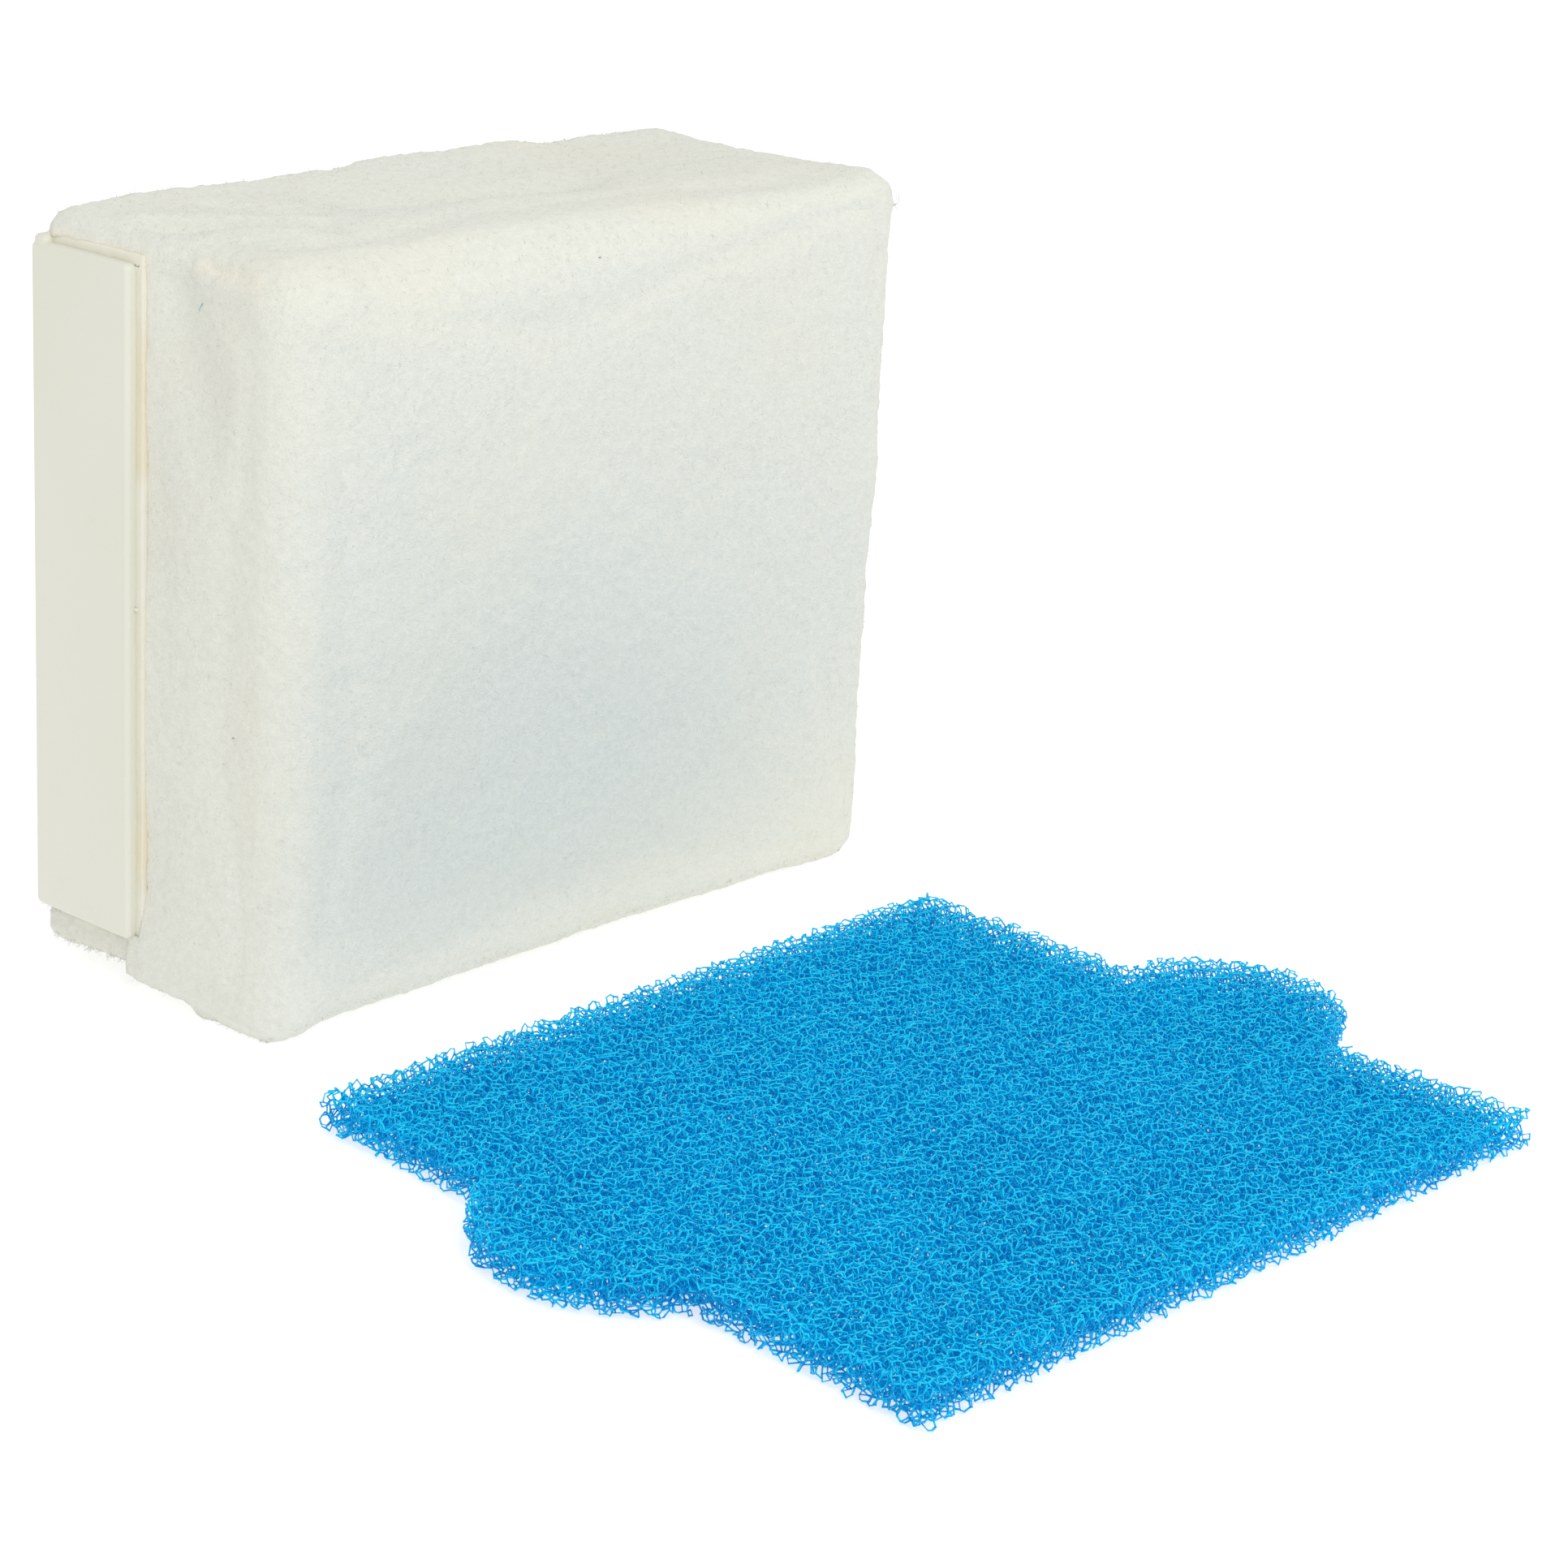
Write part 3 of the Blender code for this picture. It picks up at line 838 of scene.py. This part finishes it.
def strutPiece(name, struts, stout, generator):
    # a closed three-sided bar along every strut
    start, end = struts[:, 0], struts[:, 1]
    along = end - start
    along = along / np.linalg.norm(along, axis=1)[:, None]
    helper = np.where(np.abs(along[:, 2:3]) < 0.8, [[0.0, 0.0, 1.0]], [[1.0, 0.0, 0.0]])
    side = np.cross(along, helper)
    side /= np.linalg.norm(side, axis=1)[:, None]
    other = np.cross(along, side)
    count = len(start)
    spread = np.clip(1.0 + foam["radiusSpread"] * generator.standard_normal(count), 0.6, 1.5)
    radius = foam["strutRadius"] * spread * stout
    twist = generator.uniform(0.0, 2 * math.pi, count)
    points = np.empty((count, 6, 3))
    for corner in range(3):
        angle = twist + corner * 2 * math.pi / 3
        offset = radius[:, None] * (np.cos(angle)[:, None] * side + np.sin(angle)[:, None] * other)
        points[:, corner] = start - along * radius[:, None] * foam["pastEnd"] + offset
        points[:, corner + 3] = end + along * radius[:, None] * foam["pastEnd"] + offset
    bar = np.array([[0, 1, 4], [0, 4, 3], [1, 2, 5], [1, 5, 4], [2, 0, 3], [2, 3, 5], [2, 1, 0], [3, 4, 5]])
    triangles = (np.arange(count)[:, None, None] * 6 + bar).reshape(-1, 3)
    return triangleMesh(name, points.reshape(-1, 3), triangles)


def buildFoamMat():
    generator = np.random.default_rng(foam["seed"])
    outline = matOutline()
    struts = wholeCells(*foamSkeleton(generator), outline)
    middle = struts.mean(axis=1)
    depth = (matHigh.z - middle[:, 2]) / (matHigh.z - matLow.z)
    inside = insideDistance(middle[:, :2], outline)
    lower = softStep(depth, *foam["stoutDepth"])
    stout = 1.0 + foam["stoutBase"] * lower * softStep(inside, *foam["stoutRim"])
    across = (middle[:, 0] - matLow.x) / (matHigh.x - matLow.x)
    along = (middle[:, 1] - matLow.y) / (matHigh.y - matLow.y)
    column = np.clip(across * foam["columns"], 0, foam["columns"] - 1)
    row = np.clip(along * foam["rows"], 0, foam["rows"] - 1)
    tiles = []
    for number in range(foam["columns"] * foam["rows"]):
        chosen = (column.astype(int) + foam["columns"] * row.astype(int)) == number
        tile = strutPiece(f"foam_mat_part_{number + 1}", struts[chosen], stout[chosen], generator)
        rideOn(tile, "mat", strutLook)
        tiles.append(tile)
        print(tile.name, len(tile.data.polygons), "triangles")
    return tiles


foamTiles = buildFoamMat()
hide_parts("foam_mat")
print("foam mat ready")


# fleece strip under the rigid frame
strip = {"voxel": 0.0016, "edge": 0.0005, "drop": 0.0010, "side": 0.0005, "rear": 0.0001, "tuck": 0.0018,
         "tilt": 0.0009,
         "lumpSize": 0.012, "lumpDepth": 0.0009, "grainSize": 0.0021, "grainDepth": 0.0013}


def buildStrip():
    low = stripLow - Vector((strip["side"], strip["tuck"], strip["drop"]))
    high = stripHigh + Vector((strip["side"], strip["rear"], -0.0003))
    block = addBlock("underside_fleece_soft", low, high)
    roundEdges(block, strip["edge"], 2)
    evenMesh(block, strip["voxel"])
    smoothSurface(block, 1)
    cloudsDisplace(block, "stripLumps", strip["lumpSize"], 1, strip["lumpDepth"])
    cloudsDisplace(block, "stripGrain", strip["grainSize"], 3, strip["grainDepth"])
    applyModifiers(block)
    points = readPoints(block)
    # its underside hangs lower toward the rear
    hang = np.clip((stripHigh.z - points[:, 2]) / (stripHigh.z - stripLow.z), 0.0, 1.2)
    rearward = (2.0 * points[:, 1] - stripLow.y - stripHigh.y) / (stripHigh.y - stripLow.y)
    points[:, 2] = np.minimum(points[:, 2] - strip["tilt"] * hang * rearward, stripHigh.z)
    writePoints(block, points)
    block.data.shade_smooth()
    return block


stripSoft = buildStrip()
rideOn(stripSoft, "cartridge", shadedStripLook)
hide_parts("underside_fleece")
print("underside strip", len(stripSoft.data.polygons), "faces")


# stuffing and core sponge
filling = {"waddingInset": 0.0012, "waddingVoxel": 0.0055, "waddingLump": 0.016, "waddingDepth": 0.0022,
           "waddingEdge": 0.006, "spongeInset": 0.0006, "spongeVoxel": 0.0034, "poreSize": 0.0021,
           "poreDepth": 0.0013, "spongeEdge": 0.0012}


def buildWadding():
    low, high = (Vector(corner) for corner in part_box("wadding_block"))
    inset = Vector((filling["waddingInset"],) * 3)
    block = addBlock("wadding_soft", low + inset, high - inset)
    roundEdges(block, filling["waddingEdge"], 3)
    evenMesh(block, filling["waddingVoxel"])
    smoothSurface(block, 1)
    cloudsDisplace(block, "waddingLumps", filling["waddingLump"], 2, filling["waddingDepth"])
    applyModifiers(block)
    block.data.shade_smooth()
    return block


def buildSponge():
    low, high = (Vector(corner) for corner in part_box("core_sponge"))
    inset = Vector((filling["spongeInset"],) * 3)
    block = addBlock("core_sponge_soft", low + inset, high - inset)
    roundEdges(block, filling["spongeEdge"], 2)
    evenMesh(block, filling["spongeVoxel"])
    smoothSurface(block, 1)
    cloudsDisplace(block, "spongePores", filling["poreSize"], 0, filling["poreDepth"])
    applyModifiers(block)
    points = readPoints(block)
    low, high = np.array(low), np.array(high)
    writePoints(block, np.clip(points, low, high))
    block.data.shade_smooth()
    return block


waddingSoft = buildWadding()
rideOn(waddingSoft, "cartridge", feltLook)
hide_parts("wadding_block")
spongeSoft = buildSponge()
rideOn(spongeSoft, "cartridge", spongeLook)
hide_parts("core_sponge")
print("stuffing and core sponge", len(spongeSoft.data.polygons), "faces")


# hot glue beads
bead = {
    "voxel": 0.00048,
    "edge": 0.00030,
    "sunk": 0.0016,             # how far each bead reaches in from the fleece's side, and out from it
    "proud": 0.0005,
    "ahead": 0.0007,            # the front bead's reach in front of the plate, behind its edge and below it
    "behind": 0.0030,
    "below": 0.0008,
    "topAhead": 0.0006,         # the top bead's reach in front, past the frame, into the plate and above it
    "topPast": 0.0006,
    "topSunk": 0.0022,
    "topRise": 0.0012,
    "lumpSize": 0.0200,
    "lumpDepth": 0.0004,
    "grainSize": 0.0020,
    "grainDepth": 0.0002,
    "drop": (-0.0933, 0.0233, 0.0874),
    "dropRadius": 0.00055,
}


def buildBead(name, low, high):
    block = addBlock(name, low, high)
    roundEdges(block, bead["edge"], 2)
    evenMesh(block, bead["voxel"])
    cloudsDisplace(block, name + "Lumps", bead["lumpSize"], 1, bead["lumpDepth"])
    cloudsDisplace(block, name + "Grain", bead["grainSize"], 1, bead["grainDepth"])
    applyModifiers(block)
    block.data.shade_smooth()
    return block


def buildDrop():
    # a drop that stands on the edge of the left end plate
    deselectAll()
    bpy.ops.mesh.primitive_uv_sphere_add(segments=16, ring_count=10, radius=bead["dropRadius"],
                                         location=bead["drop"])
    drop = bpy.context.active_object
    drop.name = "glue_drop"
    drop.scale = (1.0, 1.4, 0.8)
    bakePlace(drop)
    cloudsDisplace(drop, "dropLumps", 0.0008, 1, 0.0003)
    applyModifiers(drop)
    drop.data.shade_smooth()
    return drop


for side, sign in (("left", -1), ("right", 1)):
    for run in ("front", "top"):
        node = f"glue_bead_{run}_{side}"
        frameRear = Vector(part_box(node)[1]).y
        wall = sign * abs(jacketLow.x)      # the plane of the fleece's side
        edges = sorted((wall - sign * bead["sunk"], wall + sign * bead["proud"]))
        if run == "front":
            low = Vector((edges[0], plateLow.y - bead["ahead"], plateLow.z - bead["below"]))
            high = Vector((edges[1], plateLow.y + bead["behind"], plateHigh.z))
        else:
            low = Vector((edges[0], plateLow.y - bead["topAhead"], plateHigh.z - bead["topSunk"]))
            high = Vector((edges[1], frameRear + bead["topPast"], plateHigh.z + bead["topRise"]))
        soft = buildBead(node + "_soft", low, high)
        rideOn(soft, "cartridge", glue)
        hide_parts(node)
drop = buildDrop()
rideOn(drop, "cartridge", glue)
print("glue beads ready")


# loose fibres on the fleece
fibre = {
    "seed": 23,
    "count": 7000,
    "radius": 0.000032,
    "length": (0.0008, 0.0022),
    "lift": 0.42,               # how steeply a fibre leaves the fleece, how curly it is, and its ring count
    "curl": 0.60,
    "rings": 3,
    "hairRadius": 0.000055,
    "hairSpread": 0.45,
    "hairCurl": 0.42,
    "hairRings": 8,
    "threadRadius": 0.00013,
    "speckRadius": 0.00010,
    "clear": 0.0003,            # how far above the fleece the thread and the specks lie
}

# stray hairs: the piece they grow on, the middle and half size of the place, which way, how many, how long
strayHairs = [
    ("jacket", (0.0930, 0.0120, 0.1665), (0.001, 0.003, 0.001), (0.35, 0.05, 1.0), 8, 0.0048),
    ("jacket", (0.0930, 0.0030, 0.1665), (0.001, 0.003, 0.001), (0.60, 0.20, 1.0), 7, 0.0044),
    ("jacket", (0.0935, -0.0250, 0.1625), (0.001, 0.002, 0.001), (0.75, -0.60, 0.25), 16, 0.0052),
    ("jacket", (0.000, 0.054, 0.1690), (0.090, 0.001, 0.001), (0.0, 0.6, 0.8), 300, 0.0013),
    ("jacket", (0.094, -0.022, 0.0850), (0.001, 0.003, 0.080), (0.8, -0.5, 0.0), 300, 0.0013),
    ("jacket", (-0.092, 0.001, 0.0020), (0.001, 0.022, 0.002), (-0.9, 0.0, -0.1), 110, 0.0013),
    ("jacket", (0.000, -0.025, 0.0020), (0.090, 0.001, 0.002), (0.0, -0.9, -0.1), 280, 0.0013),
    ("strip", (-0.0920, 0.0530, 0.0115), (0.001, 0.003, 0.001), (-0.60, 0.45, -0.35), 34, 0.0030),
    ("strip", (-0.0920, 0.0400, 0.0040), (0.001, 0.015, 0.001), (-0.45, 0.0, -0.70), 110, 0.0018),
]


def tubeAlong(paths, radius):
    # a thin closed three-sided tube along each path of points
    count, rings = paths.shape[:2]
    along = np.gradient(paths, axis=1)
    along /= np.maximum(np.linalg.norm(along, axis=2, keepdims=True), 1e-12)
    side = np.cross(along, [0.31, 0.57, 0.76])
    side /= np.maximum(np.linalg.norm(side, axis=2, keepdims=True), 1e-12)
    other = np.cross(along, side)
    taper = np.linspace(1.0, 0.55, rings)[None, :, None] * radius
    points = np.stack([paths + taper * (math.cos(angle) * side + math.sin(angle) * other)
                       for angle in (0.0, 2 * math.pi / 3, 4 * math.pi / 3)], axis=2)
    tube = [[2, 1, 0]]
    for ring in range(rings - 1):
        for corner in range(3):
            near, far = ring * 3 + corner, ring * 3 + (corner + 1) % 3
            tube += [[near, far, far + 3], [near, far + 3, near + 3]]
    tube.append([rings * 3 - 3, rings * 3 - 2, rings * 3 - 1])
    triangles = (np.arange(count)[:, None, None] * rings * 3 + np.array(tube)).reshape(-1, 3)
    return points.reshape(-1, 3), triangles


def curlyPaths(roots, directions, lengths, curl, rings, generator):
    paths = [roots]
    heading = directions
    for _ in range(rings - 1):
        heading = heading + curl * generator.standard_normal(heading.shape)
        heading = heading / np.linalg.norm(heading, axis=1, keepdims=True)
        paths.append(paths[-1] + heading * (lengths / (rings - 1))[:, None])
    return np.stack(paths, axis=1)


def buildFibres():
    generator = np.random.default_rng(fibre["seed"])
    mesh = jacketSoft.data
    centres = np.empty(len(mesh.polygons) * 3, np.float32)
    normals = np.empty(len(mesh.polygons) * 3, np.float32)
    mesh.polygons.foreach_get("center", centres)
    mesh.polygons.foreach_get("normal", normals)
    centres, normals = centres.reshape(-1, 3).astype(float), normals.reshape(-1, 3).astype(float)
    outer = (np.abs(feltDistance(centres)) < 0.0022) & (np.sum(feltNormal(centres) * normals, axis=1) > 0.5)
    outer &= centres[:, 2] > 0.004
    chosen = generator.choice(np.flatnonzero(outer), fibre["count"], replace=False)
    roots, upward = centres[chosen], normals[chosen]
    spread = generator.standard_normal(roots.shape)
    flat = spread - np.sum(spread * upward, axis=1, keepdims=True) * upward
    flat /= np.linalg.norm(flat, axis=1, keepdims=True)
    headings = flat + fibre["lift"] * upward * generator.uniform(0.2, 1.6, (len(roots), 1))
    lengths = generator.uniform(*fibre["length"], len(roots))
    paths = curlyPaths(roots, headings, lengths, fibre["curl"], fibre["rings"], generator)
    points, triangles = tubeAlong(paths, fibre["radius"])
    piece = triangleMesh("fleece_fibres", points, triangles)
    print("fibres", len(piece.data.polygons), "triangles")
    return piece


def buildHairs():
    generator = np.random.default_rng(fibre["seed"] + 1)
    groups = []
    surfaces = {"jacket": readPoints(jacketSoft), "strip": readPoints(stripSoft)}
    for surface, middle, half, heading, count, length in strayHairs:
        places = np.array(middle) + np.array(half) * generator.uniform(-1.0, 1.0, (count, 3))
        points = surfaces[surface]
        roots = np.array([points[np.argmin(((points - place) ** 2).sum(axis=1))] for place in places])
        headings = np.array(heading) + fibre["hairSpread"] * generator.standard_normal((count, 3))
        lengths = length * generator.uniform(0.5, 1.2, count)
        groups.append(curlyPaths(roots, headings, lengths, fibre["hairCurl"], fibre["hairRings"], generator))
    points, triangles = tubeAlong(np.concatenate(groups), fibre["hairRadius"])
    points[:, 2] = np.maximum(points[:, 2], 0.0)
    return triangleMesh("stray_hairs", points, triangles)


def laidOnFleece(paths):
    # shifts each short path so that its middle just clears the fleece
    surface = readPoints(jacketSoft)
    laid = []
    for path in paths:
        middle = path[len(path) // 2]
        nearest = surface[np.argmin(((surface - middle) ** 2).sum(axis=1))]
        outward = feltNormal(middle[None])[0]
        laid.append(path + outward * (((nearest - middle) @ outward) + fibre["clear"]))
    return np.array(laid)


def buildThread():
    # a short blue thread caught in the fleece
    path = np.array([[(-0.0931, 0.0049, 0.1569), (-0.0934, 0.0052, 0.1562), (-0.0934, 0.0056, 0.1555),
                      (-0.0931, 0.0058, 0.1550)]])
    points, triangles = tubeAlong(laidOnFleece(path), fibre["threadRadius"])
    return triangleMesh("blue_thread", points, triangles)


def buildSpecks():
    # two short dark fibres caught in the fleece
    paths = np.array([[(-0.0929, -0.0058, 0.0656), (-0.0933, -0.0062, 0.0657), (-0.0930, -0.0067, 0.0658)],
                      [(-0.0032, -0.0247, 0.1620), (-0.0029, -0.0251, 0.1621), (-0.0026, -0.0248, 0.1623)]])
    points, triangles = tubeAlong(laidOnFleece(paths), fibre["speckRadius"])
    return triangleMesh("dark_specks", points, triangles)


for build, looseLook, looseSlot in ((buildFibres, hairLook, "fleece"), (buildHairs, hairLook, "fleece"),
                                    (buildThread, threadLook, "blue_foam"),
                                    (buildSpecks, speckLook, "fleece")):
    rideOn(build(), "cartridge", looseLook)
print("fibres ready")


# moulded frame: its CAD walls with a better finish, rounded end plates, and a lug high on each rear corner
lug = {"low": (-0.0954, 0.0506, 0.1604), "high": (-0.0908, 0.0549, 0.1637), "edge": 0.0013}
plate = {
    "corner": 0.0016,           # rounding of the four corners, and of the edges round the outer face
    "edge": 0.0012,
    "front": 0.0016,            # how far each side is moved from the nominal plate, along its axis
    "rear": 0.0007,
    "foot": -0.0010,
    "head": -0.0008,
}


def buildLug(name, mirrored):
    sign = -1.0 if mirrored else 1.0
    low, high = Vector(lug["low"]), Vector(lug["high"])
    ends = sorted((sign * low.x, sign * high.x))
    block = addBlock(name, (ends[0], low.y, low.z), (ends[1], high.y, high.z))
    roundEdges(block, lug["edge"], 4)
    pick(block)
    bpy.ops.object.shade_smooth_by_angle(angle=math.radians(40))
    return block


def buildPlate(name, low, high, outer):
    # an end plate with softly rounded moulded edges round its outer face
    block = addBlock(name, low, high)
    bpy.ops.object.mode_set(mode="EDIT")
    mesh = bmesh.from_edit_mesh(block.data)
    for edge in mesh.edges:
        across = edge.verts[0].co - edge.verts[1].co
        edge.select_set(abs(across.y) < 1e-6 and abs(across.z) < 1e-6)
    bmesh.update_edit_mesh(block.data)
    bpy.ops.mesh.bevel(offset=plate["corner"], segments=6)
    bpy.ops.mesh.select_all(action="DESELECT")
    mesh = bmesh.from_edit_mesh(block.data)
    for edge in mesh.edges:
        edge.select_set(all(abs(corner.co.x - outer) < 1e-6 for corner in edge.verts))
    bmesh.update_edit_mesh(block.data)
    bpy.ops.mesh.bevel(offset=plate["edge"], segments=5)
    bpy.ops.object.mode_set(mode="OBJECT")
    bpy.ops.object.shade_smooth_by_angle(angle=math.radians(35))
    even = block.modifiers.new("evenNormals", "WEIGHTED_NORMAL")
    even.weight = 100
    even.keep_sharp = True
    applyModifiers(block)
    return block


for side in ("left", "right"):
    low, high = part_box("end_plate_" + side)
    low = (low[0], low[1] + plate["front"], low[2] + plate["foot"])
    high = (high[0], high[1] + plate["rear"], high[2] + plate["head"])
    plateSoft = buildPlate(f"end_plate_{side}_moulded", low, high, low[0] if side == "left" else high[0])
    rideOn(plateSoft, "cartridge", moulded)
    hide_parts("end_plate_" + side)
for plasticNode in ("frame_wall_top", "frame_wall_bottom", "rear_grille"):
    wall = bpy.data.objects[plasticNode]
    wall.data.materials.clear()
    wall.data.materials.append(moulded)
for lugName, mirrored in (("frame_lug_left", False), ("frame_lug_right", True)):
    rideOn(buildLug(lugName, mirrored), "cartridge", moulded)
print("frame finished")
